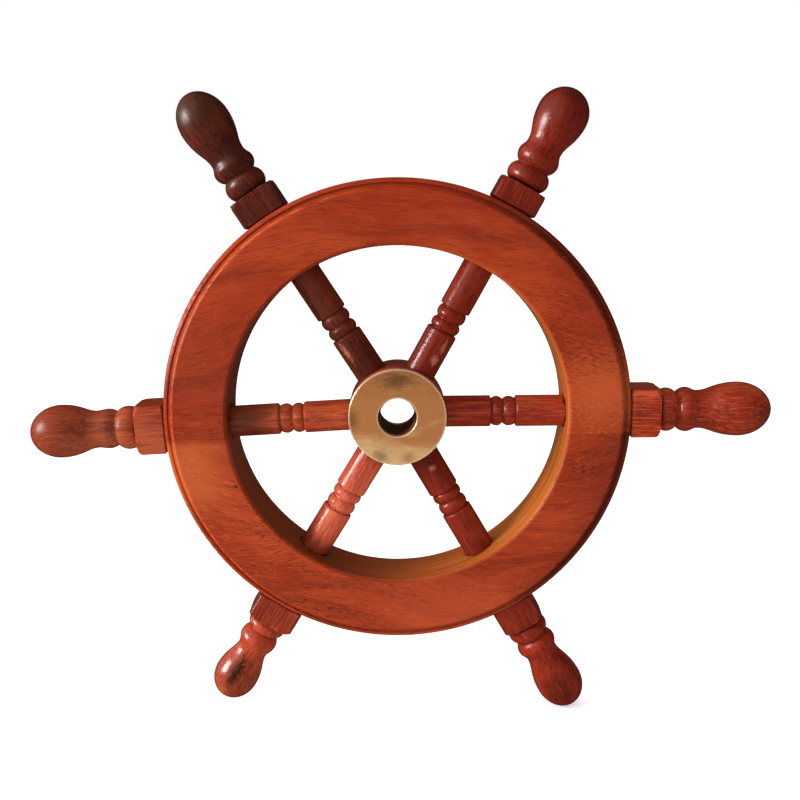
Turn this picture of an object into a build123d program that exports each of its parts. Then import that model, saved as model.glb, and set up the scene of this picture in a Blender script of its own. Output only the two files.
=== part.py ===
from build123d import *
from typing import NamedTuple
import math
import os

# Ship steering wheel: a turned wooden rim, six turned spokes that run on as handles, and a
# wooden hub between two brass flanges. All sizes are in millimetres.
#
# Frame: the origin is the centre of the wheel, midway through the thickness of the rim.
# Y is the axle, and the front of the wheel looks towards -Y. Z is up, X is to the right.
# A spoke's radius is a distance from the axle, and its angle runs from +X towards +Z.


class Spoke(NamedTuple):
    """What differs from one hand-turned spoke to the next. Places are distances from the axle."""
    angle: float
    block_side: float
    block_end: float
    groove: float
    neck: float
    crown: float
    tip: float
    bead_a_diameter: float
    bead_b_diameter: float
    grip_diameter: float


# Spokes: evenly spaced in intent, and up to two and a half degrees out as made. Their tips
# lie 152 on average from the axle, which makes a wheel of about 12 inches.
SPOKES = {
    "right": Spoke(
        angle=-0.8, block_side=20.0, block_end=108.2, groove=116.2, neck=125.1, crown=142.0,
        tip=156.0, bead_a_diameter=18.3, bead_b_diameter=18.7, grip_diameter=22.7,
    ),
    "upper_right": Spoke(
        angle=60.1, block_side=18.9, block_end=105.3, groove=113.4, neck=122.5, crown=136.6,
        tip=147.7, bead_a_diameter=17.7, bead_b_diameter=17.5, grip_diameter=20.9,
    ),
    "upper_left": Spoke(
        angle=121.8, block_side=18.9, block_end=107.0, groove=115.4, neck=124.0, crown=139.2,
        tip=152.5, bead_a_diameter=17.2, bead_b_diameter=17.6, grip_diameter=21.1,
    ),
    "left": Spoke(
        angle=182.1, block_side=20.3, block_end=108.1, groove=117.3, neck=125.7, crown=141.1,
        tip=154.2, bead_a_diameter=18.3, bead_b_diameter=16.8, grip_diameter=22.3,
    ),
    "lower_left": Spoke(
        angle=237.7, block_side=19.8, block_end=107.4, groove=113.7, neck=123.8, crown=137.9,
        tip=148.9, bead_a_diameter=16.8, bead_b_diameter=16.6, grip_diameter=19.3,
    ),
    "lower_right": Spoke(
        angle=299.1, block_side=17.8, block_end=108.4, groove=116.1, neck=125.0, crown=140.7,
        tip=152.7, bead_a_diameter=17.5, bead_b_diameter=17.2, grip_diameter=20.0,
    ),
}

# Rim: two boards glued edge to edge, then turned to a ring
RIM_OUTER_R = 95.9
RIM_INNER_R = 69.6
RIM_DEPTH = 27.5
RIM_JOINT_Z = -8.3
RIM_INNER_EASE = 1.4
MOULD_WIDTH = 4.2
MOULD_FALL = 2.4
MOULD_ARRIS_R = 1.1
QUIRK_WIDTH = 0.8
QUIRK_DEPTH = 0.35
BEAD_R = 1.8

# Spoke between hub and rim: a plain round shank with a pair of beads
SHANK_R = 6.55
SHANK_LIP_R = 0.8
BEADS_START = 38.9
BEADS_MIDDLE = 43.8
BEADS_END = 49.2
INNER_BEAD_R = 6.25
MIDDLE_GROOVE_R = 5.1
END_GROOVE_R = 5.4

# Flat floor of every groove that is cut beside a bead
GROOVE_FLOOR = 0.3

# Spoke tenon, and the stepped socket in the hub that takes it
SHOULDER_RADIUS = 17.5
TENON_RADIUS = 11.5
TENON_R = 4.5
TENON_CHAMFER = 0.6
SOCKET_END_GAP = 0.5

# Square block that seats on the outside of the rim. Its turned ends' radii are shares of its side.
BLOCK_EDGE_R = 1.2
BLOCK_SEAT_EASE = 0.6
BLOCK_TURNED_SHARE = 0.59
BLOCK_TURNED_LENGTH = 2.6
BLOCK_SEAT_SHARE = 0.63
BLOCK_SEAT_LENGTH = 1.3

# Handle beyond the block: two beads with a groove between them, a neck and an egg-shaped grip.
# The groove's and the neck's radii are shares of the grip's diameter. The second bead's crown
# is a share of the way from groove to neck, the swell a share of the way from neck to crown.
GROOVE_SHARE = 0.322
NECK_SHARE = 0.352
BEAD_B_PLACE = 0.47
SWELL_PLACE = 0.40
SWELL_RISE = 0.47

# Brads that lock the spokes, driven in from the back of the rim
BRAD_RADIUS = 82.5
BRAD_SHANK_R = 0.8
BRAD_LENGTH = 17.0
BRAD_POINT = 1.6
BRAD_HEAD_R = 1.5
BRAD_HEAD_DEPTH = 0.8

# Hub: wooden block, two brass flanges with collars, and the shaft sleeve that joins them
HUB_R = 20.3
HUB_EDGE_EASE = 0.6
FLANGE_R = 20.1
FLANGE_THICKNESS = 2.6
FLANGE_EDGE_BEVEL = 0.35
COLLAR_R = 9.5
COLLAR_REACH = 9.4
FRONT_FLANGE_FACE_Y = -12.15
REAR_FLANGE_FACE_Y = 13.55
SLEEVE_OUTER_R = 7.95
SLEEVE_INNER_R = 7.25
SLEEVE_FRONT_Y = -8.6
SLEEVE_REAR_Y = 7.2
BORE_BEVEL = 0.25
SLEEVE_BEVEL = 0.15

# How far a cutting shape runs past the wood it cuts
OVERRUN = 5.0


def y_cylinder(radius, y_from, y_to):
    """Solid cylinder on the axle, between two places along Y."""
    length = y_to - y_from
    return Pos(0, y_from + length / 2, 0) * Rot(90, 0, 0) * Cylinder(radius, length)


def x_cylinder(radius, x_from, x_to):
    """Solid cylinder along X, between two distances from the axle."""
    length = x_to - x_from
    return Pos(x_from + length / 2, 0, 0) * Rot(0, 90, 0) * Cylinder(radius, length)


def at_angle(shape, angle):
    """Turn a shape that lies along +X round the axle, to a spoke's place."""
    return Rot(0, -angle, 0) * shape


def bead_side(crown, foot):
    """Arc from a bead's crown, where it is level, to its foot on either side."""
    toward_foot = math.copysign(1, foot[0] - crown[0])
    return TangentArc(crown, foot, tangent=(toward_foot, 0))


def bead(first_foot, last_foot, crown_r):
    """Half outline of one full turned bead, as its two sides."""
    crown = ((first_foot[0] + last_foot[0]) / 2, crown_r)
    return [bead_side(crown, first_foot), bead_side(crown, last_foot)]


def rim_section():
    """Front half of the rim's section: X is the distance from the axle, Y is along it."""
    face = -RIM_DEPTH / 2
    arris = (RIM_OUTER_R - MOULD_WIDTH, face)
    foot_y = face + MOULD_FALL
    bead_start = RIM_OUTER_R - BEAD_R
    foot = (bead_start - QUIRK_WIDTH, foot_y)
    quirk = (bead_start - QUIRK_WIDTH / 2, foot_y + QUIRK_DEPTH)
    ease_centre = (RIM_INNER_R + RIM_INNER_EASE, face + RIM_INNER_EASE)
    outline = Curve() + [
        Line((RIM_INNER_R, 0), (RIM_INNER_R, face + RIM_INNER_EASE)),
        CenterArc(ease_centre, RIM_INNER_EASE, 180, 90),
        Line((RIM_INNER_R + RIM_INNER_EASE, face), arris),
        Line(arris, foot),
        ThreePointArc(foot, quirk, (bead_start, foot_y)),
        CenterArc((bead_start, foot_y + BEAD_R), BEAD_R, -90, 90),
        Line((RIM_OUTER_R, foot_y + BEAD_R), (RIM_OUTER_R, 0)),
        Line((RIM_OUTER_R, 0), (RIM_INNER_R, 0)),
    ]
    section = make_face(outline)
    arris_corner = section.vertices().sort_by_distance(arris)[0]
    return fillet(arris_corner, MOULD_ARRIS_R)


def rim_boards():
    """The boards above and below the glue line, with the spokes' holes and the brads' holes."""
    front_half = revolve(rim_section(), Axis.Y)
    ring = front_half + mirror(front_half, Plane.XZ)
    for spoke in SPOKES.values():
        hole = x_cylinder(SHANK_R, RIM_INNER_R - OVERRUN, RIM_OUTER_R + OVERRUN)
        ring -= at_angle(hole + brad(), spoke.angle)
    size = 2 * (RIM_OUTER_R + OVERRUN)
    above = Pos(0, 0, RIM_JOINT_Z + size / 2) * Box(size, size, size)
    return ring & above, ring - above


def shank_outline():
    """Half outline of the spoke from its tenon to the block, as a list of edges."""
    chamfer_r = TENON_R - TENON_CHAMFER
    first = (BEADS_START + GROOVE_FLOOR, BEADS_MIDDLE - GROOVE_FLOOR / 2)
    second = (BEADS_MIDDLE + GROOVE_FLOOR / 2, BEADS_END - GROOVE_FLOOR)
    return [
        Line((TENON_RADIUS, 0), (TENON_RADIUS, chamfer_r)),
        Line((TENON_RADIUS, chamfer_r), (TENON_RADIUS + TENON_CHAMFER, TENON_R)),
        Line((TENON_RADIUS + TENON_CHAMFER, TENON_R), (SHOULDER_RADIUS, TENON_R)),
        Line((SHOULDER_RADIUS, TENON_R), (SHOULDER_RADIUS, SHANK_R)),
        Line((SHOULDER_RADIUS, SHANK_R), (BEADS_START, SHANK_R)),
        Line((BEADS_START, SHANK_R), (BEADS_START, END_GROOVE_R)),
        Line((BEADS_START, END_GROOVE_R), (first[0], END_GROOVE_R)),
        *bead((first[0], END_GROOVE_R), (first[1], MIDDLE_GROOVE_R), INNER_BEAD_R),
        Line((first[1], MIDDLE_GROOVE_R), (second[0], MIDDLE_GROOVE_R)),
        *bead((second[0], MIDDLE_GROOVE_R), (second[1], END_GROOVE_R), INNER_BEAD_R),
        Line((second[1], END_GROOVE_R), (BEADS_END, END_GROOVE_R)),
        Line((BEADS_END, END_GROOVE_R), (BEADS_END, SHANK_R)),
        Line((BEADS_END, SHANK_R), (RIM_OUTER_R, SHANK_R)),
    ]


def handle_outline(spoke):
    """Half outline of the spoke from the block to the tip of the handle, as a list of edges."""
    groove_r = GROOVE_SHARE * spoke.grip_diameter
    neck = (spoke.neck, NECK_SHARE * spoke.grip_diameter)
    crown = (spoke.crown, spoke.grip_diameter / 2)
    bead_a_start = spoke.block_end + GROOVE_FLOOR
    bead_a_end = spoke.groove - GROOVE_FLOOR / 2
    bead_b_start = spoke.groove + GROOVE_FLOOR / 2
    bead_b_crown = (
        spoke.groove + BEAD_B_PLACE * (spoke.neck - spoke.groove),
        spoke.bead_b_diameter / 2,
    )
    swell = (
        neck[0] + SWELL_PLACE * (crown[0] - neck[0]),
        neck[1] + SWELL_RISE * (crown[1] - neck[1]),
    )
    return [
        Line((RIM_OUTER_R, SHANK_R), (spoke.block_end, SHANK_R)),
        Line((spoke.block_end, SHANK_R), (spoke.block_end, groove_r)),
        Line((spoke.block_end, groove_r), (bead_a_start, groove_r)),
        *bead((bead_a_start, groove_r), (bead_a_end, groove_r), spoke.bead_a_diameter / 2),
        Line((bead_a_end, groove_r), (bead_b_start, groove_r)),
        bead_side(bead_b_crown, (bead_b_start, groove_r)),
        Spline([bead_b_crown, neck], tangents=[(1, 0), (1, 0)]),
        Spline([neck, swell, crown], tangents=[(1, 0), (1, 0)]),
        EllipticalCenterArc((crown[0], 0), spoke.tip - crown[0], crown[1], 0, arc_size=90),
        Line((spoke.tip, 0), (TENON_RADIUS, 0)),
    ]


def square_block(spoke):
    """The square seat: rounded long edges, an eased inner end and corners turned down."""
    side = spoke.block_side
    length = spoke.block_end - RIM_OUTER_R
    block = Pos(RIM_OUTER_R + length / 2, 0, 0) * Box(length, side, side)
    block = fillet(block.edges().filter_by(Axis.X), BLOCK_EDGE_R)
    inner_end = block.faces().sort_by(Axis.X)[0]
    block = chamfer(inner_end.edges(), BLOCK_SEAT_EASE)
    corner_r = side / math.sqrt(2)
    turned = make_face(Polyline(
        (RIM_OUTER_R, 0),
        (RIM_OUTER_R, BLOCK_SEAT_SHARE * side),
        (RIM_OUTER_R + BLOCK_SEAT_LENGTH, corner_r),
        (spoke.block_end - BLOCK_TURNED_LENGTH, corner_r),
        (spoke.block_end, BLOCK_TURNED_SHARE * side),
        (spoke.block_end, 0),
        close=True,
    ))
    return block & revolve(turned, Axis.X)


def spoke_piece(spoke):
    """One spoke, turned from a single square blank: tenon, shank, block and handle."""
    outline = Curve() + shank_outline() + handle_outline(spoke)
    section = make_face(outline)
    lips = [section.vertices().sort_by_distance((x, SHANK_R))[0] for x in (BEADS_START, BEADS_END)]
    spindle = revolve(fillet(lips, SHANK_LIP_R), Axis.X)
    return at_angle(spindle + square_block(spoke) - brad(), spoke.angle)


def brad():
    """Headed steel brad through the back of the rim into the spoke that lies along +X."""
    back = RIM_DEPTH / 2
    tip = back - BRAD_LENGTH
    outline = make_face(Polyline(
        (0, tip),
        (BRAD_SHANK_R, tip + BRAD_POINT),
        (BRAD_SHANK_R, back - BRAD_HEAD_DEPTH),
        (BRAD_HEAD_R, back - BRAD_HEAD_DEPTH),
        (BRAD_HEAD_R, back),
        (0, back),
        close=True,
    ))
    return Pos(BRAD_RADIUS, 0, 0) * revolve(outline, Axis.Y)


def hub_block():
    """Wooden hub: stepped bore for the collars and the sleeve, and six stepped sockets."""
    front = FRONT_FLANGE_FACE_Y + FLANGE_THICKNESS
    rear = REAR_FLANGE_FACE_Y - FLANGE_THICKNESS
    block = y_cylinder(HUB_R, front, rear)
    block = fillet(block.edges().filter_by(GeomType.CIRCLE), HUB_EDGE_EASE)
    block -= y_cylinder(SLEEVE_OUTER_R, front, rear)
    block -= y_cylinder(COLLAR_R, front, FRONT_FLANGE_FACE_Y + COLLAR_REACH)
    block -= y_cylinder(COLLAR_R, REAR_FLANGE_FACE_Y - COLLAR_REACH, rear)
    socket = x_cylinder(TENON_R, TENON_RADIUS - SOCKET_END_GAP, SHOULDER_RADIUS)
    socket += x_cylinder(SHANK_R, SHOULDER_RADIUS, HUB_R + OVERRUN)
    for spoke in SPOKES.values():
        block -= at_angle(socket, spoke.angle)
    return block


def flange(face_y, inward):
    """Brass flange with a collar. inward is +1 if the wood lies towards +Y of the face."""
    bore = SLEEVE_OUTER_R
    section = make_face(Polyline(
        (bore + BORE_BEVEL, 0),
        (FLANGE_R - FLANGE_EDGE_BEVEL, 0),
        (FLANGE_R, FLANGE_EDGE_BEVEL),
        (FLANGE_R, FLANGE_THICKNESS),
        (COLLAR_R, FLANGE_THICKNESS),
        (COLLAR_R, COLLAR_REACH),
        (bore, COLLAR_REACH),
        (bore, BORE_BEVEL),
        close=True,
    ))
    solid = revolve(section, Axis.Y)
    if inward < 0:
        solid = mirror(solid, Plane.XZ)
    return Pos(0, face_y, 0) * solid


def shaft_sleeve():
    """Thin brass tube that joins the flanges and takes the shaft."""
    section = make_face(Polyline(
        (SLEEVE_INNER_R + SLEEVE_BEVEL, SLEEVE_FRONT_Y),
        (SLEEVE_OUTER_R, SLEEVE_FRONT_Y),
        (SLEEVE_OUTER_R, SLEEVE_REAR_Y),
        (SLEEVE_INNER_R + SLEEVE_BEVEL, SLEEVE_REAR_Y),
        (SLEEVE_INNER_R, SLEEVE_REAR_Y - SLEEVE_BEVEL),
        (SLEEVE_INNER_R, SLEEVE_FRONT_Y + SLEEVE_BEVEL),
        close=True,
    ))
    return revolve(section, Axis.Y)


def all_parts():
    """Every separate piece of the wheel, by node name."""
    upper_board, lower_board = rim_boards()
    parts = {
        "rim_upper_board": upper_board,
        "rim_lower_board": lower_board,
        "hub_block": hub_block(),
        "front_hub_flange": flange(FRONT_FLANGE_FACE_Y, inward=1),
        "rear_hub_flange": flange(REAR_FLANGE_FACE_Y, inward=-1),
        "shaft_sleeve": shaft_sleeve(),
    }
    for name, spoke in SPOKES.items():
        parts[f"spoke_{name}"] = spoke_piece(spoke)
        parts[f"spoke_brad_{name}"] = at_angle(brad(), spoke.angle)
    return parts


os.makedirs("parts", exist_ok=True)
for node, solid in all_parts().items():
    export_step(solid, f"parts/{node}.step")
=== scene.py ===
"""Looks for the ship steering wheel: varnished wood, brass, glue lines, studio and camera."""

import math
from typing import NamedTuple

import bpy
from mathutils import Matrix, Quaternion, Vector, noise as value_noise

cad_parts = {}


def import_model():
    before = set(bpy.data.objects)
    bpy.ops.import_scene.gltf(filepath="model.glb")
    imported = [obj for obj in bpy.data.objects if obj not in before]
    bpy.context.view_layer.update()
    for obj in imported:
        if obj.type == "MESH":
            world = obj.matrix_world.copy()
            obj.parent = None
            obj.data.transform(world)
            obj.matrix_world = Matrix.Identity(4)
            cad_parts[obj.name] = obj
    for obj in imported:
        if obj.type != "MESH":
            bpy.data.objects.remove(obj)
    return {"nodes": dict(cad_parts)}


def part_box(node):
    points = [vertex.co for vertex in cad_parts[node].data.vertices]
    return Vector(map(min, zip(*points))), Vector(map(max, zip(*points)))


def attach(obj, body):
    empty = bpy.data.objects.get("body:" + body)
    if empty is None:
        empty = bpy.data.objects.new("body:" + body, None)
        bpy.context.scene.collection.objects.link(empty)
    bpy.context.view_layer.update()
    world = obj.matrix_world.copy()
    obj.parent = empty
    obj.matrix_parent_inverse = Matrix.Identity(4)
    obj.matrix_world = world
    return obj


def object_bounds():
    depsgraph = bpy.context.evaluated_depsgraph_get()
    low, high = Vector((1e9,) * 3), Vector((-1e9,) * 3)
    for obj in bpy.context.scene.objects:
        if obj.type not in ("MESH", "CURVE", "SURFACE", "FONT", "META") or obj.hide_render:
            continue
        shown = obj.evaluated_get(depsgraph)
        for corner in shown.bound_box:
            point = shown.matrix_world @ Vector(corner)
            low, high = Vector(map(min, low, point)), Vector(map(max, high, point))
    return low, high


MM = 0.001

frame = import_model()
cad_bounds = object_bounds()
nodes = frame["nodes"]

# The wheel: Y is the axle, X is to the right and Z is up. The rim's width and the shanks' radius
# are the CAD's own values; the other sizes are read from the frame.
SPOKES = ("right", "upper_right", "upper_left", "left", "lower_left", "lower_right")
RIM_WIDTH = 26.3 * MM
RIM_OUTER_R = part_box("rim_upper_board")[1].x
RIM_INNER_R = RIM_OUTER_R - RIM_WIDTH
HUB_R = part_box("hub_block")[1].x
SHANK_R = 6.55 * MM
GLUE_LINE_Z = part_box("rim_lower_board")[1].z


def at(x, y, z):
    """A place given in mm, as metres in the frame."""
    return (x * MM, y * MM, z * MM)


def spoke_angle(name):
    """Which way a spoke points, from +X towards +Z, read from its mesh."""
    points = [vertex.co for vertex in nodes["spoke_" + name].data.vertices]
    middle = sum(points, Vector()) / len(points)
    return math.atan2(middle.z, middle.x)


# ---------------------------------------------------------------- node helpers

def srgb(red, green, blue):
    """Linear colour from the 0 to 255 values that a screen shows."""
    def linear(value):
        value /= 255
        return value / 12.92 if value <= 0.04045 else ((value + 0.055) / 1.055) ** 2.4
    return (linear(red), linear(green), linear(blue), 1.0)


def shader(tree, kind, inputs=None, **settings):
    """Adds a shader node. An input is given as a value, or as a socket to link it to."""
    node = tree.nodes.new("ShaderNode" + kind)
    for name, value in settings.items():
        setattr(node, name, value)
    for name, value in (inputs or {}).items():
        if isinstance(value, bpy.types.NodeSocket):
            tree.links.new(value, node.inputs[name])
        else:
            node.inputs[name].default_value = value
    return node


def maths(tree, operation, first, second=0.0):
    """One Math node's result."""
    return shader(tree, "Math", {0: first, 1: second}, operation=operation).outputs[0]


def times(tree, first, second):
    """The product of two values."""
    return maths(tree, "MULTIPLY", first, second)


def multiply_add(tree, value, factor, offset):
    """The value times the factor, plus the offset."""
    inputs = {0: value, 1: factor, 2: offset}
    return shader(tree, "Math", inputs, operation="MULTIPLY_ADD").outputs[0]


def band(tree, value, middle, half_width):
    """1 within half_width of the middle, and 0 outside."""
    inputs = {0: value, 1: middle, 2: half_width}
    return shader(tree, "Math", inputs, operation="COMPARE").outputs[0]


def jittered(tree, value, pattern, amount):
    """The value moved by a noise pattern: by amount for a change of 1 in the pattern."""
    return multiply_add(tree, maths(tree, "SUBTRACT", pattern, 0.5), amount, value)


def scaled(tree, vector, factors):
    """A vector multiplied along each axis, so that a pattern stretches along the small ones."""
    return shader(tree, "VectorMath", {0: vector, 1: factors}, operation="MULTIPLY").outputs[0]


def noise(tree, vector, factors=(1, 1, 1), detail=2.0, roughness=0.5, seed=0.0, distortion=0.0):
    """Noise at so many features per metre along each axis, about 0.5 on average."""
    made = shader(tree, "TexNoise", {
        "Vector": scaled(tree, vector, factors), "W": seed, "Scale": 1.0, "Detail": detail,
        "Roughness": roughness, "Distortion": distortion,
    }, noise_dimensions="4D")
    return made.outputs["Fac"]


def step_up(tree, value, low, high):
    """0 below low, 1 above high, and smooth between them."""
    made = shader(tree, "MapRange", {
        "Value": value, "From Min": low, "From Max": high, "To Min": 0.0, "To Max": 1.0,
    }, interpolation_type="SMOOTHSTEP")
    return made.outputs["Result"]


def mix(tree, share, first, second, blend="MIX"):
    """Two colours mixed by a share of 0 to 1. A colour mix uses the sockets 0, 6 and 7, and 2."""
    made = shader(tree, "Mix", data_type="RGBA", blend_type=blend)
    for socket, value in zip((made.inputs[0], made.inputs[6], made.inputs[7]), (share, first, second)):
        if isinstance(value, bpy.types.NodeSocket):
            tree.links.new(value, socket)
        else:
            socket.default_value = value
    return made.outputs[2]


def stain(tree, colour, share, strength, tone):
    """The colour with a tone laid over it, by the share times the strength."""
    return mix(tree, times(tree, share, strength), colour, tone)


def bump(tree, height, distance, strength=1.0, normal=None):
    """A normal that follows a height pattern, with distance in metres."""
    inputs = {"Height": height, "Distance": distance, "Strength": strength}
    if normal is not None:
        inputs["Normal"] = normal
    return shader(tree, "Bump", inputs).outputs["Normal"]


def new_material(name):
    """An empty node material and its tree."""
    material = bpy.data.materials.new(name)
    material.use_nodes = True
    material.node_tree.nodes.clear()
    return material, material.node_tree


def finish_material(tree, surface):
    """Links a shader node to the material's output."""
    output = tree.nodes.new("ShaderNodeOutputMaterial")
    tree.links.new(surface.outputs[0], output.inputs["Surface"])


def object_place(tree):
    """The point in the frame, in metres."""
    return tree.nodes.new("ShaderNodeTexCoord").outputs["Object"]


def edge_share(tree, radius, low, high):
    """1 on an edge, within about the radius, and 0 on open faces."""
    soft = shader(tree, "Bevel", {"Radius": radius}, samples=4).outputs[0]
    sharp = tree.nodes.new("ShaderNodeNewGeometry").outputs["Normal"]
    dot = shader(tree, "VectorMath", {0: soft, 1: sharp}, operation="DOT_PRODUCT").outputs["Value"]
    return step_up(tree, maths(tree, "SUBTRACT", 1.0, dot), low, high)


def corner_shade_share(tree, distance, low, high):
    """1 deep in a corner and 0 in the open: the mask for painted shade in corners."""
    open_share = shader(tree, "AmbientOcclusion", {"Distance": distance}, samples=6).outputs["AO"]
    return step_up(tree, maths(tree, "SUBTRACT", 1.0, open_share), low, high)


def grazing_shade_share(tree, low, high):
    """1 where the surface turns away from the viewer, and 0 where it faces them: the mask for painted shade
    along silhouettes.
    """
    facing = shader(tree, "LayerWeight", {"Blend": 0.5}).outputs["Facing"]
    return step_up(tree, facing, low, high)


# ---------------------------------------------------------------- wood

# Features per metre of the wood's figure, along the grain and across it
BANDS = (9, 150, 100)
STREAKS = (80, 1100, 1100)
FIBRES = (170, 3200, 3200)
CLOUDS = (20, 34, 34)
PORE_DASHES = (380, 2200, 2200)
PORE_GROUPS = (40, 130, 130)
PALE_LINES = (48, 900, 900)
RIM_FLECKS = (240, 1500, 1500)


def wood_figure(tree, grain, tones, seed, streakiness=0.5):
    """Colour, fibre height and pores of stained hardwood whose fibres run along the grain's X."""
    dark, middle, light = tones
    bands = noise(tree, grain, BANDS, 4.0, 0.6, seed, 0.6)
    streaks = noise(tree, grain, STREAKS, 3.0, 0.65, seed + 3.1)
    fibres = noise(tree, grain, FIBRES, 2.0, 0.6, seed + 5.7)
    clouds = noise(tree, grain, CLOUDS, 3.0, 0.55, seed + 9.3)
    dashes = noise(tree, grain, PORE_DASHES, 1.5, 0.5, seed + 12.9, 0.2)
    groups = noise(tree, grain, PORE_GROUPS, 1.0, 0.5, seed + 17.3)
    colour = stain(tree, middle, step_up(tree, clouds, 0.44, 0.62), 0.75, light)
    colour = stain(tree, colour, step_up(tree, bands, 0.52, 0.36), 0.55, dark)
    colour = stain(tree, colour, step_up(tree, streaks, 0.50, 0.62), streakiness, dark)
    colour = stain(tree, colour, step_up(tree, fibres, 0.48, 0.64), 0.4, light)
    pores = times(tree, step_up(tree, dashes, 0.56, 0.62), step_up(tree, groups, 0.44, 0.60))
    return colour, fibres, pores


def varnish(tree, colour, fibres, pores, coat, gloss):
    """Stained wood under a coat of varnish that has sunk a little into the pores."""
    place = object_place(tree)
    orange_peel = noise(tree, place, (520, 520, 520), 3.0, 0.6, 41.0)
    patches = noise(tree, place, (60, 60, 60), 2.0, 0.5, 47.0)
    grain_normal = bump(tree, fibres, 0.1 * MM, 0.5)
    pore_normal = bump(tree, maths(tree, "SUBTRACT", 1.0, pores), 0.1 * MM, 0.4, grain_normal)
    coat_normal = bump(tree, orange_peel, 0.22 * MM, 0.4, pore_normal)
    smoothest, roughest = gloss
    return shader(tree, "BsdfPrincipled", {
        "Base Color": colour, "Roughness": 0.55, "Specular IOR Level": 0.0, "Normal": grain_normal,
        "Coat Weight": coat, "Coat IOR": 1.5, "Coat Normal": coat_normal,
        "Coat Roughness": multiply_add(tree, patches, roughest - smoothest, smoothest),
    })


class Spot(NamedTuple):
    """A ragged spot of another tone. The distance from its centre is multiplied by stretch, axis
    by axis, so a larger stretch makes it narrower. It is full and gone at these products."""
    centre: tuple
    stretch: tuple
    full: float
    gone: float
    strength: float
    tone: tuple
    seed: float


def add_spots(tree, place, colour, spots):
    """Ragged spots: a knot, dabs of dried varnish, smudges, or broad patches of a board."""
    for spot in spots:
        offset = shader(tree, "VectorMath", {0: place, 1: spot.centre}, operation="SUBTRACT").outputs[0]
        stretched = scaled(tree, offset, spot.stretch)
        distance = shader(tree, "VectorMath", {0: stretched}, operation="LENGTH").outputs["Value"]
        ragged = noise(tree, place, (420, 1100, 1100), 3.0, 0.65, spot.seed)
        reach = jittered(tree, distance, ragged, 2.2)
        share = step_up(tree, reach, spot.gone, spot.full)
        colour = stain(tree, colour, share, spot.strength, spot.tone)
    return colour


def axle_distance(tree, place):
    """How far a point is from the axle."""
    flat = scaled(tree, place, (1, 0, 1))
    return shader(tree, "VectorMath", {0: flat}, operation="LENGTH").outputs["Value"]


# ---------------------------------------------------------------- the rim's boards

def bowed_grain(tree, place, across, seed, bow, tilt):
    """The place, shifted so that a board's level grain bows and tilts with X, and wanders."""
    wander = noise(tree, place, (14, 14, 14), 1.0, 0.5, seed)
    lift = times(tree, maths(tree, "SUBTRACT", wander, 0.5), 30 * MM)
    sag = times(tree, multiply_add(tree, across, -bow, -tilt), across)
    waved = shader(tree, "CombineXYZ", {"Z": maths(tree, "ADD", lift, sag)}).outputs[0]
    return shader(tree, "VectorMath", {0: place, 1: waved}, operation="ADD").outputs[0]


def rim_openness(tree, axes, leftward):
    """How open the grain is: most at the lower left, next on the far right, least at the top."""
    far_right = times(tree, step_up(tree, axes["X"], 40 * MM, 80 * MM), 0.6)
    below = step_up(tree, axes["Z"], 20 * MM, -20 * MM)
    openness = maths(tree, "MAXIMUM", times(tree, leftward, below), far_right)
    return multiply_add(tree, openness, 0.6, 0.3)


def open_pores(tree, colour, grain, pores, openness, seed):
    """Dark pores and bright flecks, where the grain is open."""
    colour = stain(tree, colour, pores, openness, srgb(78, 20, 10))
    flecks = noise(tree, grain, RIM_FLECKS, 3.0, 0.65, seed + 27)
    bright = times(tree, step_up(tree, flecks, 0.54, 0.66), openness)
    return stain(tree, colour, bright, 0.5, srgb(206, 92, 44))


def rim_glue_line(tree, colour, height):
    """The thin dark line where the two boards are glued."""
    near = maths(tree, "ABSOLUTE", maths(tree, "SUBTRACT", height, GLUE_LINE_Z))
    return stain(tree, colour, step_up(tree, near, 0.45 * MM, 0.05 * MM), 0.25, srgb(84, 26, 10))


def painted_shade_right(tree, colour, radius, rightward, ragged):
    """Painted shade on the right, where the rim turns from the light: soft over the face, and ragged over
    the moulding, where it also stands for dark stain that ran over.
    """
    outward = step_up(tree, radius, RIM_INNER_R + 8 * MM, RIM_OUTER_R)
    colour = stain(tree, colour, times(tree, outward, rightward), 0.4, srgb(104, 32, 18))
    # Over the moulding the painted shade has a ragged edge and also stands for stain that ran over.
    reach = jittered(tree, radius, ragged, 7 * MM)
    moulding_shade_and_overrun = step_up(tree, reach, RIM_OUTER_R - 5.0 * MM, RIM_OUTER_R - 3.2 * MM)
    return stain(tree, colour, times(tree, moulding_shade_and_overrun, rightward), 0.7, srgb(70, 24, 13))


def rim_bore(tree, colour, place, radius, lit_bore_side, seed):
    """Inside the ring the wood took less stain and the lathe left rings; painted light makes the bore darker
    on the left and paler on the right, where it faces the light, and painted shade darkens its corners.
    """
    inside = step_up(tree, radius, RIM_INNER_R + 0.45 * MM, RIM_INNER_R + 0.05 * MM)
    rings = noise(tree, place, (14, 1100, 14), 3.0, 0.6, seed + 21)
    tone = mix(tree, lit_bore_side, srgb(122, 56, 16), srgb(204, 116, 42))
    tone = stain(tree, tone, step_up(tree, rings, 0.44, 0.58), 0.55, srgb(96, 36, 9))
    colour = stain(tree, colour, inside, 0.9, tone)
    # Painted shade in the bore's corners.
    bore_corner_shade = times(tree, corner_shade_share(tree, 5 * MM, 0.3, 0.8), inside)
    return stain(tree, colour, bore_corner_shade, 0.75, srgb(44, 14, 7))


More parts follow.
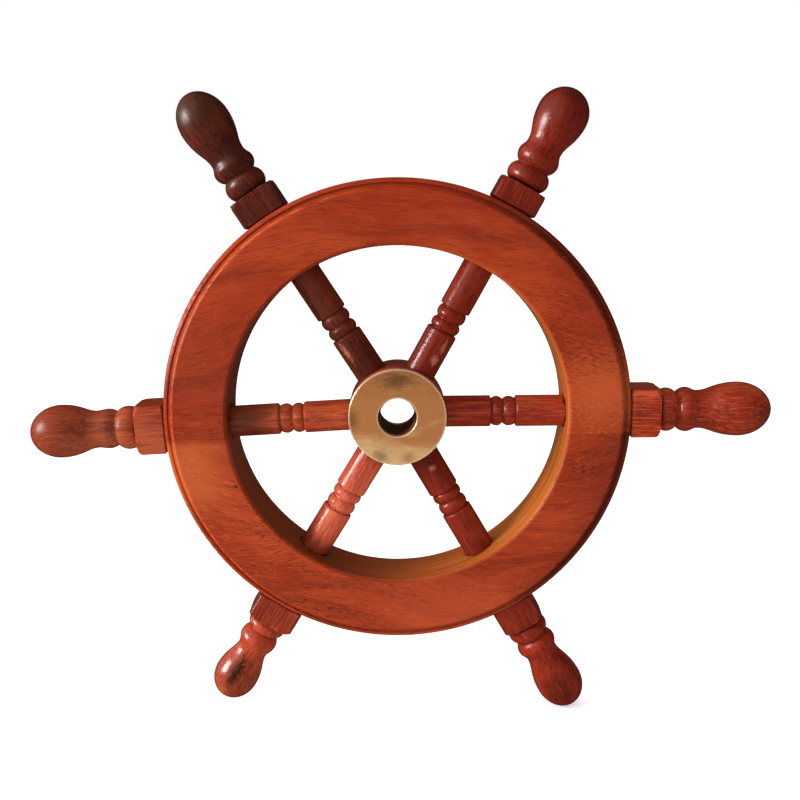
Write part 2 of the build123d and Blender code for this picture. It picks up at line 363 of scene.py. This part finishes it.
def rim_arrises(tree, colour, radius, lit_bore_side, leftward, ragged):
    """Painted light at the rim's edges: the inner arris painted dark on the left and as a highlight on the
    right, painted shade in the moulding's quirk, and a painted glint on the outer arris on the left.
    """
    # The inner arris: painted shade on the left, a painted highlight on the right.
    off_face = step_up(tree, radius, RIM_INNER_R + 1.7 * MM, RIM_INNER_R + 0.9 * MM)
    off_bore = step_up(tree, radius, RIM_INNER_R + 0.1 * MM, RIM_INNER_R + 0.5 * MM)
    tone = mix(tree, lit_bore_side, srgb(80, 24, 9), srgb(182, 82, 36))
    colour = stain(tree, colour, times(tree, off_face, off_bore), 0.45, tone)
    # Painted shade in the moulding's quirk.
    quirk = band(tree, radius, RIM_OUTER_R - 2.2 * MM, 0.45 * MM)
    colour = stain(tree, colour, quirk, 0.3, srgb(74, 20, 10))
    # A painted glint on the outer arris, on the left, where the light falls.
    arris = band(tree, radius, RIM_OUTER_R - 3.9 * MM, 0.35 * MM)
    arris_glint = times(tree, times(tree, arris, leftward), step_up(tree, ragged, 0.42, 0.56))
    return stain(tree, colour, arris_glint, 0.5, srgb(220, 116, 62))


def left_sheen(tree, colour, axes):
    """A painted sheen: a paler patch on the left, just below the glue line, where the face catches the
    light.
    """
    outer_left = step_up(tree, axes["X"], -62 * MM, -84 * MM)
    upper = step_up(tree, axes["Z"], -48 * MM, -26 * MM)
    below_glue = step_up(tree, axes["Z"], GLUE_LINE_Z + 2 * MM, GLUE_LINE_Z - 3 * MM)
    patch = times(tree, times(tree, outer_left, upper), below_glue)
    return stain(tree, colour, patch, 0.45, srgb(216, 108, 52))


def rim_wood(name, tones, seed, bow, tilt, patches):
    """One board: bowed and tilted grain, a yellower bore, painted shade in the corners, on the right
    and along its silhouette, and painted light on the bore, the arrises and the left of the face.
    bow is how fast the grain rises with the square of X, per metre, and tilt is how fast it rises
    with X."""
    material, tree = new_material(name)
    place = object_place(tree)
    axes = shader(tree, "SeparateXYZ", {"Vector": place}).outputs
    radius = axle_distance(tree, place)
    leftward = step_up(tree, axes["X"], 10 * MM, -60 * MM)
    rightward = step_up(tree, axes["X"], 15 * MM, 75 * MM)
    # Share of the right side, where the bore and its inner arris face the light: it paints them paler.
    lit_bore_side = step_up(tree, axes["X"], -40 * MM, 62 * MM)
    grain = bowed_grain(tree, place, axes["X"], seed, bow, tilt)
    ragged = noise(tree, grain, (110, 500, 500), 3.0, 0.6, seed + 33)
    colour, fibres, pores = wood_figure(tree, grain, tones, seed)
    openness = rim_openness(tree, axes, leftward)
    colour = open_pores(tree, colour, grain, pores, openness, seed)
    colour = rim_glue_line(tree, colour, axes["Z"])
    colour = painted_shade_right(tree, colour, radius, rightward, ragged)
    colour = rim_bore(tree, colour, place, radius, lit_bore_side, seed)
    colour = rim_arrises(tree, colour, radius, lit_bore_side, leftward, ragged)
    colour = left_sheen(tree, colour, axes)
    colour = add_spots(tree, place, colour, patches)
    # Painted shade in the board's corners.
    colour = stain(tree, colour, corner_shade_share(tree, 1.4 * MM, 0.3, 0.95), 0.6, srgb(60, 16, 8))
    # Painted shade where the board turns away from the viewer.
    colour = stain(tree, colour, grazing_shade_share(tree, 0.55, 0.95), 0.35, srgb(70, 18, 9))
    finish_material(tree, varnish(tree, colour, fibres, pores, 0.5, (0.2, 0.4)))
    return material


# ---------------------------------------------------------------- the spokes and the hub

class Mark(NamedTuple):
    """A stretch of a spoke that is tinted. It starts, is full, fades and is gone at these
    distances from the axle, in mm."""
    start: float
    full: float
    fade: float
    gone: float
    tint: tuple


class SpokeLook(NamedTuple):
    """How one spoke was stained and varnished. gloss is its smoothest and roughest varnish."""
    tones: tuple
    seed: float
    streakiness: float
    coat: float
    gloss: tuple
    marks: tuple


def tinted_stretches(tree, along, colour, marks, seed):
    """Stretches of the spoke where the colour is darker or paler, with ragged ends: mostly stain, and
    painted light on the right spoke's block and the lower left shank.
    """
    from_axle = shader(tree, "SeparateXYZ", {"Vector": along}).outputs["X"]
    for number, mark in enumerate(marks):
        ragged = noise(tree, along, (45, 380, 380), 2.0, 0.5, seed + 31 + number)
        reach = jittered(tree, from_axle, ragged, 16 * MM)
        begins = step_up(tree, reach, mark.start * MM, mark.full * MM)
        share = times(tree, begins, step_up(tree, reach, mark.gone * MM, mark.fade * MM))
        colour = mix(tree, share, colour, (*mark.tint, 1), "MULTIPLY")
    return colour


def spoke_wood(name, look, spots):
    """A spoke's wood, with its grain along the spoke, its own stain, and painted shade in its corners and
    along its silhouette.
    """
    material, tree = new_material("spoke_wood_" + name)
    turn = (0, spoke_angle(name), 0)
    along = shader(tree, "Mapping", {"Vector": object_place(tree), "Rotation": turn}).outputs[0]
    colour, fibres, pores = wood_figure(tree, along, look.tones, look.seed, look.streakiness)
    colour = stain(tree, colour, pores, 0.45, srgb(46, 14, 9))
    lines = step_up(tree, noise(tree, along, PALE_LINES, 3.0, 0.6, look.seed + 41), 0.52, 0.64)
    light = look.tones[2]
    colour = stain(tree, colour, lines, look.streakiness, light)
    colour = tinted_stretches(tree, along, colour, look.marks, look.seed)
    colour = add_spots(tree, along, colour, spots)
    # Pale worn edges, which also paint in the highlight on the eased arrises.
    rub = noise(tree, along, (160, 700, 700), 3.0, 0.6, look.seed + 51)
    worn_edge_and_glint = times(tree, edge_share(tree, 0.8 * MM, 0.06, 0.2), step_up(tree, rub, 0.46, 0.58))
    colour = stain(tree, colour, worn_edge_and_glint, 0.4, srgb(200, 110, 76))
    # Painted shade in the spoke's corners and where it meets the rim and the hub.
    colour = stain(tree, colour, corner_shade_share(tree, 2.0 * MM, 0.25, 0.85), 0.85, srgb(30, 8, 5))
    # Painted shade along the spoke's silhouette.
    colour = stain(tree, colour, grazing_shade_share(tree, 0.5, 0.95), 0.45, srgb(54, 17, 9))
    finish_material(tree, varnish(tree, colour, fibres, pores, look.coat, look.gloss))
    return material


def hub_wood():
    """The hub's disc, grain level."""
    material, tree = new_material("hub_wood")
    tones = (srgb(88, 28, 14), srgb(134, 48, 24), srgb(160, 68, 34))
    colour, fibres, pores = wood_figure(tree, object_place(tree), tones, 61.0)
    # Painted shade in the hub's corners.
    colour = stain(tree, colour, corner_shade_share(tree, 2.0 * MM, 0.25, 0.9), 0.65, srgb(48, 15, 9))
    finish_material(tree, varnish(tree, colour, fibres, pores, 0.7, (0.14, 0.3)))
    return material


def glue_varnish():
    """Dark glue and puddled varnish, nearly matt and a little lumpy."""
    material, tree = new_material("glue_varnish")
    lumps = noise(tree, object_place(tree), (700, 700, 700), 3.0, 0.6, 83.0)
    colour = mix(tree, step_up(tree, lumps, 0.35, 0.7), srgb(32, 10, 6), srgb(84, 28, 15))
    finish_material(tree, shader(tree, "BsdfPrincipled", {
        "Base Color": colour, "Roughness": 0.5, "Specular IOR Level": 0.04,
        "Normal": bump(tree, lumps, 0.12 * MM, 0.5),
    }))
    return material


# ---------------------------------------------------------------- metal

# The brass's dark smudges
BRASS_SMUDGES = (
    Spot(at(0.5, -12, 15.5), (105, 40, 260), 0.1, 1.3, 0.75, srgb(96, 66, 40), 101.0),
    Spot(at(-18.5, -12, -0.5), (330, 40, 190), 0.1, 1.2, 0.6, srgb(112, 78, 50), 102.0),
    Spot(at(-7.5, -12, -16), (230, 40, 260), 0.1, 1.3, 0.6, srgb(120, 88, 58), 103.0),
    Spot(at(4.5, -12, -17), (260, 40, 330), 0.1, 1.3, 0.45, srgb(140, 100, 66), 104.0),
)


def flange_brass():
    """Handled brass: paler towards the bottom, smoky patches, faint turning rings, hair scratches, and a
    painted highlight along the edges.
    """
    material, tree = new_material("flange_brass")
    place = object_place(tree)
    ring_place = shader(tree, "CombineXYZ", {"X": axle_distance(tree, place)}).outputs[0]
    rings = noise(tree, ring_place, (5200, 1, 1), 2.0, 0.6, 2.0)
    smudges = noise(tree, place, (60, 60, 130), 3.0, 0.55, 8.0, 0.8)
    specks = noise(tree, place, (900, 900, 900), 2.0, 0.6, 15.0)
    hairs = noise(tree, place, (70, 4200, 2600), 2.0, 0.6, 19.0)
    height = shader(tree, "SeparateXYZ", {"Vector": place}).outputs["Z"]
    drift = jittered(tree, height, smudges, 40 * MM)
    colour = mix(tree, step_up(tree, drift, -3 * MM, -19 * MM), srgb(204, 136, 82), srgb(246, 200, 142))
    colour = stain(tree, colour, step_up(tree, drift, 8 * MM, 19 * MM), 0.35, srgb(168, 104, 60))
    colour = add_spots(tree, place, colour, BRASS_SMUDGES)
    colour = stain(tree, colour, step_up(tree, specks, 0.62, 0.8), 0.2, srgb(120, 74, 36))
    # A painted highlight: a pale line along the edges and round the bore, as if they caught the light.
    colour = stain(tree, colour, edge_share(tree, 0.9 * MM, 0.01, 0.1), 0.95, srgb(255, 240, 208))
    normal = bump(tree, hairs, 0.01 * MM, 0.2, bump(tree, rings, 0.01 * MM, 0.25))
    finish_material(tree, shader(tree, "BsdfPrincipled", {
        "Base Color": colour, "Metallic": 0.4, "Normal": normal, "Specular IOR Level": 0.2,
        "Roughness": multiply_add(tree, smudges, 0.2, 0.16),
    }))
    return material


def sleeve_brass():
    """The dark drawn tube inside the hub."""
    material, tree = new_material("sleeve_brass")
    place = object_place(tree)
    patches = noise(tree, place, (160, 60, 160), 3.0, 0.6, 27.0)
    draw_lines = noise(tree, place, (2600, 30, 2600), 2.0, 0.6, 29.0)
    colour = mix(tree, step_up(tree, patches, 0.35, 0.7), srgb(66, 40, 22), srgb(122, 80, 44))
    finish_material(tree, shader(tree, "BsdfPrincipled", {
        "Base Color": colour, "Metallic": 0.7, "Roughness": multiply_add(tree, patches, 0.3, 0.3),
        "Normal": bump(tree, draw_lines, 0.02 * MM, 0.4),
    }))
    return material


def brad_steel():
    """Plain steel, a little rusty round the head."""
    material, tree = new_material("brad_steel")
    rust = noise(tree, object_place(tree), (1400, 1400, 1400), 3.0, 0.6, 33.0)
    colour = mix(tree, step_up(tree, rust, 0.45, 0.65), srgb(150, 146, 140), srgb(104, 66, 44))
    finish_material(tree, shader(tree, "BsdfPrincipled", {
        "Base Color": colour, "Metallic": 0.6, "Roughness": 0.45, "Normal": bump(tree, rust, 0.02 * MM, 0.5),
    }))
    return material


# ---------------------------------------------------------------- glue round the shanks

RIM_GLUE_REACH = 1.5 * MM
HUB_GLUE_REACH = 0.9 * MM
GLUE_STEPS = 72
GLUE_ROWS = 6
GLUE_BURY = 0.25 * MM
GLUE_LEAST = 0.35
GLUE_SWING = 1.6
GLUE_LUMPS = 1.9


def add_object(name, data):
    """A new object in the scene."""
    made = bpy.data.objects.new(name, data)
    bpy.context.scene.collection.objects.link(made)
    return made


def wall_at(wall_radius, sideways):
    """How far from the axle a round wall is, measured along the spoke, to one side of its line."""
    return math.sqrt(wall_radius ** 2 - sideways ** 2)


def glue_points(angle, wall_radius, side, reach, seed):
    """Rows of points from the shank to the wall, step by step round the shank. Each step ends
    with one point inside the wood, which closes the fillet behind."""
    outward = Vector((math.cos(angle), 0, math.sin(angle)))
    across = Vector((-math.sin(angle), 0, math.cos(angle)))
    points = []
    for step in range(GLUE_STEPS):
        turn = math.tau * step / GLUE_STEPS
        around = Vector((math.cos(turn), math.sin(turn), seed))
        size = reach * (GLUE_LEAST + GLUE_SWING * abs(value_noise.noise(around * GLUE_LUMPS)))
        direction = across * math.cos(turn) + Vector((0, math.sin(turn), 0))
        for row in range(GLUE_ROWS + 1):
            share = row / GLUE_ROWS * math.pi / 2
            off_shank = size * (1 - math.cos(share))
            off_wall = size * (1 - math.sin(share))
            spread = SHANK_R - GLUE_BURY + off_shank
            wall = wall_at(wall_radius, spread * math.cos(turn))
            points.append(outward * (wall + side * (off_wall - GLUE_BURY)) + direction * spread)
        corner = wall_at(wall_radius, SHANK_R * math.cos(turn)) - side * 2 * GLUE_BURY
        points.append(outward * corner + direction * (SHANK_R - 2 * GLUE_BURY))
    return points


def closed_faces(steps, points_in_step):
    """Quads that join each step's loop of points to the next one's, and the last to the first."""
    faces = []
    for step in range(steps):
        here = step * points_in_step
        there = (step + 1) % steps * points_in_step
        for row in range(points_in_step):
            following = (row + 1) % points_in_step
            faces.append((here + row, here + following, there + following, there + row))
    return faces


def glue_ring(name, angle, wall_radius, side, reach, seed, material):
    """Squeezed-out glue round a shank where it meets a round wall. side is -1 if the shank
    comes from inside the wall's circle, and +1 if it comes from outside."""
    mesh = bpy.data.meshes.new(name)
    points = glue_points(angle, wall_radius, side, reach, seed)
    mesh.from_pydata(points, [], closed_faces(GLUE_STEPS, GLUE_ROWS + 2))
    mesh.validate()
    for face in mesh.polygons:
        face.use_smooth = True
    mesh.materials.append(material)
    piece = add_object(name, mesh)
    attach(piece, "root")


# ---------------------------------------------------------------- studio

FLOOR_HALF = 20.0
KEY_PLACE = (-1.3, -0.35, 0.35)
KEY_SIZE = 0.5
KEY_POWER = 19.0
KEY_COLOUR = (1.0, 0.97, 0.94)
WHITE = (1, 1, 1, 1)


def floor():
    """A wide pale floor at the lowest handle, dim in reflections so that it leaves no veil."""
    material, tree = new_material("floor_pale")
    mottle = noise(tree, object_place(tree), (6, 6, 6), 2.0, 0.5, 71.0)
    rays = tree.nodes.new("ShaderNodeLightPath").outputs
    pale = mix(tree, mottle, (0.93, 0.93, 0.93, 1), (0.96, 0.96, 0.96, 1))
    colour = mix(tree, rays["Is Glossy Ray"], pale, (0.05, 0.05, 0.05, 1))
    finish_material(tree, shader(tree, "BsdfPrincipled", {
        "Base Color": colour, "Roughness": 0.95, "Specular IOR Level": 0.0,
        "Emission Color": WHITE, "Emission Strength": times(tree, rays["Is Camera Ray"], 0.5),
    }))
    mesh = bpy.data.meshes.new("floor")
    level = cad_bounds[0].z
    corners = [(x * FLOOR_HALF, y * FLOOR_HALF, level) for x, y in ((-1, -1), (1, -1), (1, 1), (-1, 1))]
    mesh.from_pydata(corners, [], [(0, 1, 2, 3)])
    mesh.materials.append(material)
    add_object("floor", mesh)


def key_light():
    """A square soft box to the left, a little above and in front, that looks at the hub."""
    light = bpy.data.lights.new("key", "AREA")
    light.size = KEY_SIZE
    light.energy = KEY_POWER
    light.color = KEY_COLOUR
    lamp = add_object("key", light)
    lamp.location = KEY_PLACE
    lamp.rotation_mode = "QUATERNION"
    lamp.rotation_quaternion = (-Vector(KEY_PLACE)).to_track_quat("-Z", "Y")


def world():
    """White to the camera, soft light to the wood and dimmer from the right, dark in the gloss."""
    made = bpy.data.worlds.new("studio")
    bpy.context.scene.world = made
    made.use_nodes = True
    made.cycles.sampling_method = "NONE"
    tree = made.node_tree
    tree.nodes.clear()
    direction = tree.nodes.new("ShaderNodeTexCoord").outputs["Generated"]
    rays = tree.nodes.new("ShaderNodeLightPath").outputs
    rightness = shader(tree, "SeparateXYZ", {"Vector": direction}).outputs["X"]
    from_left, from_right = (0.90, 0.89, 0.88, 1), (0.32, 0.30, 0.29, 1)
    soft = mix(tree, step_up(tree, rightness, -0.1, 0.95), from_left, from_right)
    toward_key = {0: direction, 1: (-0.9, -0.3, 0.3)}
    keyness = shader(tree, "VectorMath", toward_key, operation="DOT_PRODUCT").outputs["Value"]
    away, near_key = (0.045, 0.028, 0.022, 1), (0.7, 0.68, 0.66, 1)
    gloss = mix(tree, step_up(tree, keyness, 0.3, 1.0), away, near_key)
    colour = mix(tree, rays["Is Glossy Ray"], soft, gloss)
    colour = mix(tree, rays["Is Camera Ray"], colour, WHITE)
    background = shader(tree, "Background", {"Color": colour, "Strength": 1.0})
    output = tree.nodes.new("ShaderNodeOutputWorld")
    tree.links.new(background.outputs[0], output.inputs["Surface"])


def camera():
    """The camera stands a little above the hub and looks slightly down."""
    data = bpy.data.cameras.new("camera")
    data.lens = 46.0
    data.sensor_width = 36.0
    made = add_object("camera", data)
    place = Vector((2.6, -419.0, 90.0)) * MM
    aim = Vector((1.2, 0.0, 4.9)) * MM
    roll = Quaternion((0, 0, 1), math.radians(-1.34))
    made.location = place
    made.rotation_mode = "QUATERNION"
    made.rotation_quaternion = (aim - place).to_track_quat("-Z", "Y") @ roll
    bpy.context.scene.camera = made


# ---------------------------------------------------------------- dress the parts

def paint(node, material):
    """Gives a CAD node one material."""
    mesh = nodes[node].data
    mesh.materials.clear()
    mesh.materials.append(material)


# Each stain's dark, middle and light tone
UPPER_RIM = (srgb(116, 30, 8), srgb(154, 46, 14), srgb(178, 66, 26))
LOWER_RIM = (srgb(116, 31, 10), srgb(156, 49, 17), srgb(184, 70, 30))
RED = (srgb(92, 21, 8), srgb(142, 38, 15), srgb(192, 82, 50))
WINE = (srgb(66, 14, 5), srgb(114, 27, 11), srgb(152, 48, 26))
DEEP = (srgb(44, 13, 6), srgb(80, 26, 13), srgb(116, 46, 24))
BROWN = (srgb(108, 35, 13), srgb(156, 56, 26), srgb(196, 94, 56))
EMBER = (srgb(112, 32, 14), srgb(164, 58, 32), srgb(206, 96, 66))

# Broad patches on the boards: paler at the right and the bottom, darker at the upper left and
# below the glue line on the right
UPPER_PATCHES = (
    Spot(at(83, -13, 8), (40, 20, 50), 0.1, 1.3, 0.45, srgb(218, 102, 48), 111.0),
    Spot(at(-80, -13, 22), (35, 20, 35), 0.1, 1.3, 0.35, srgb(112, 36, 26), 113.0),
)
LOWER_PATCHES = (
    Spot(at(18, -13, -84), (24, 20, 50), 0.1, 1.3, 0.3, srgb(216, 94, 54), 112.0),
    Spot(at(84, -13, -26), (60, 20, 55), 0.1, 1.3, 0.3, srgb(104, 32, 18), 114.0),
)

# Spots on the spokes, placed along, through and across each one: dabs of dried varnish, and the
# lower left spoke's knot with bare wood beyond it
SPOKE_SPOTS = {
    "right": (),
    "upper_right": (
        Spot(at(27, -6, -2.6), (300, 130, 420), 0.0, 0.9, 0.6, srgb(214, 140, 122), 95.0),
        Spot(at(33, -6, -3.2), (160, 130, 700), 0.2, 0.8, 0.6, srgb(198, 118, 100), 96.0),
    ),
    "upper_left": (
        Spot(at(33, -6, 3.4), (150, 130, 560), 0.2, 0.85, 0.6, srgb(190, 124, 98), 97.0),
    ),
    "left": (),
    "lower_left": (
        Spot(at(146, -6, -2.2), (170, 110, 300), 0.2, 1.0, 0.55, srgb(192, 100, 52), 93.0),
        Spot(at(135, -9, -1.6), (80, 90, 200), 0.2, 1.1, 0.5, srgb(92, 42, 26), 92.0),
        Spot(at(133, -9, -1.5), (105, 95, 290), 0.15, 0.95, 0.9, srgb(38, 19, 12), 91.0),
    ),
    "lower_right": (
        Spot(at(27, -6, 0.8), (460, 130, 500), 0.0, 0.9, 0.6, srgb(208, 128, 106), 98.0),
    ),
}

SPOKE_LOOKS = {
    "right": SpokeLook(RED, seed=11.0, streakiness=0.55, coat=1.0, gloss=(0.1, 0.3), marks=(
        Mark(20, 22, 42, 50, (0.85, 0.7, 0.65)),
        # Painted light: lifts the right block, where the rim casts shade on it.
        Mark(92, 95, 106, 110, (1.55, 1.5, 1.35)),
        Mark(146, 156, 170, 180, (0.6, 0.55, 0.55)),
    )),
    "upper_right": SpokeLook(WINE, seed=13.0, streakiness=0.45, coat=0.9, gloss=(0.12, 0.3), marks=(
        Mark(122, 136, 170, 180, (0.65, 0.62, 0.7)),
    )),
    "upper_left": SpokeLook(DEEP, seed=15.0, streakiness=0.5, coat=0.7, gloss=(0.18, 0.38), marks=(
        Mark(112, 120, 124, 140, (0.7, 0.8, 0.9)),
        Mark(132, 146, 170, 180, (0.6, 0.95, 1.1)),
    )),
    "left": SpokeLook(BROWN, seed=17.0, streakiness=0.55, coat=0.5, gloss=(0.22, 0.42), marks=(
        Mark(20, 22, 42, 48, (1.2, 1.14, 1.08)),
        Mark(49, 60, 78, 84, (0.42, 0.45, 0.5)),
        Mark(92, 95, 108, 112, (0.88, 0.84, 0.92)),
        Mark(108, 120, 170, 180, (0.62, 0.64, 0.66)),
    )),
    "lower_left": SpokeLook(EMBER, seed=19.0, streakiness=0.45, coat=1.0, gloss=(0.08, 0.22), marks=(
        # Partly a painted highlight: this paling by the hub was set from colour on a highlight.
        Mark(20, 24, 60, 66, (1.35, 1.4, 1.5)),
        Mark(60, 67, 78, 84, (0.55, 0.45, 0.45)),
        Mark(92, 96, 106, 110, (0.66, 0.6, 0.55)),
        Mark(122, 134, 170, 180, (0.66, 0.68, 0.7)),
    )),
    "lower_right": SpokeLook(WINE, seed=23.0, streakiness=0.5, coat=0.8, gloss=(0.12, 0.32), marks=(
        Mark(20, 22, 34, 40, (0.75, 0.7, 0.7)),
        Mark(92, 95, 106, 110, (1.18, 1.25, 1.15)),
        Mark(108, 114, 120, 128, (1.35, 1.4, 1.4)),
    )),
}

upper_wood = rim_wood("rim_upper_wood", UPPER_RIM, seed=1.0, bow=-1.4, tilt=0.0, patches=UPPER_PATCHES)
lower_wood = rim_wood("rim_lower_wood", LOWER_RIM, seed=7.0, bow=0.7, tilt=-0.09, patches=LOWER_PATCHES)
paint("rim_upper_board", upper_wood)
paint("rim_lower_board", lower_wood)
paint("hub_block", hub_wood())
brass = flange_brass()
paint("front_hub_flange", brass)
paint("rear_hub_flange", brass)
paint("shaft_sleeve", sleeve_brass())
steel = brad_steel()
glue = glue_varnish()
for index, name in enumerate(SPOKES):
    paint("spoke_" + name, spoke_wood(name, SPOKE_LOOKS[name], SPOKE_SPOTS[name]))
    paint("spoke_brad_" + name, steel)
    angle = spoke_angle(name)
    glue_ring("glue_at_rim_" + name, angle, RIM_INNER_R, -1, RIM_GLUE_REACH, 3.0 + index, glue)
    glue_ring("glue_at_hub_" + name, angle, HUB_R, 1, HUB_GLUE_REACH, 13.0 + index, glue)

floor()
world()
key_light()
camera()
bpy.context.scene.view_settings.view_transform = "Standard"

bpy.context.view_layer.update()
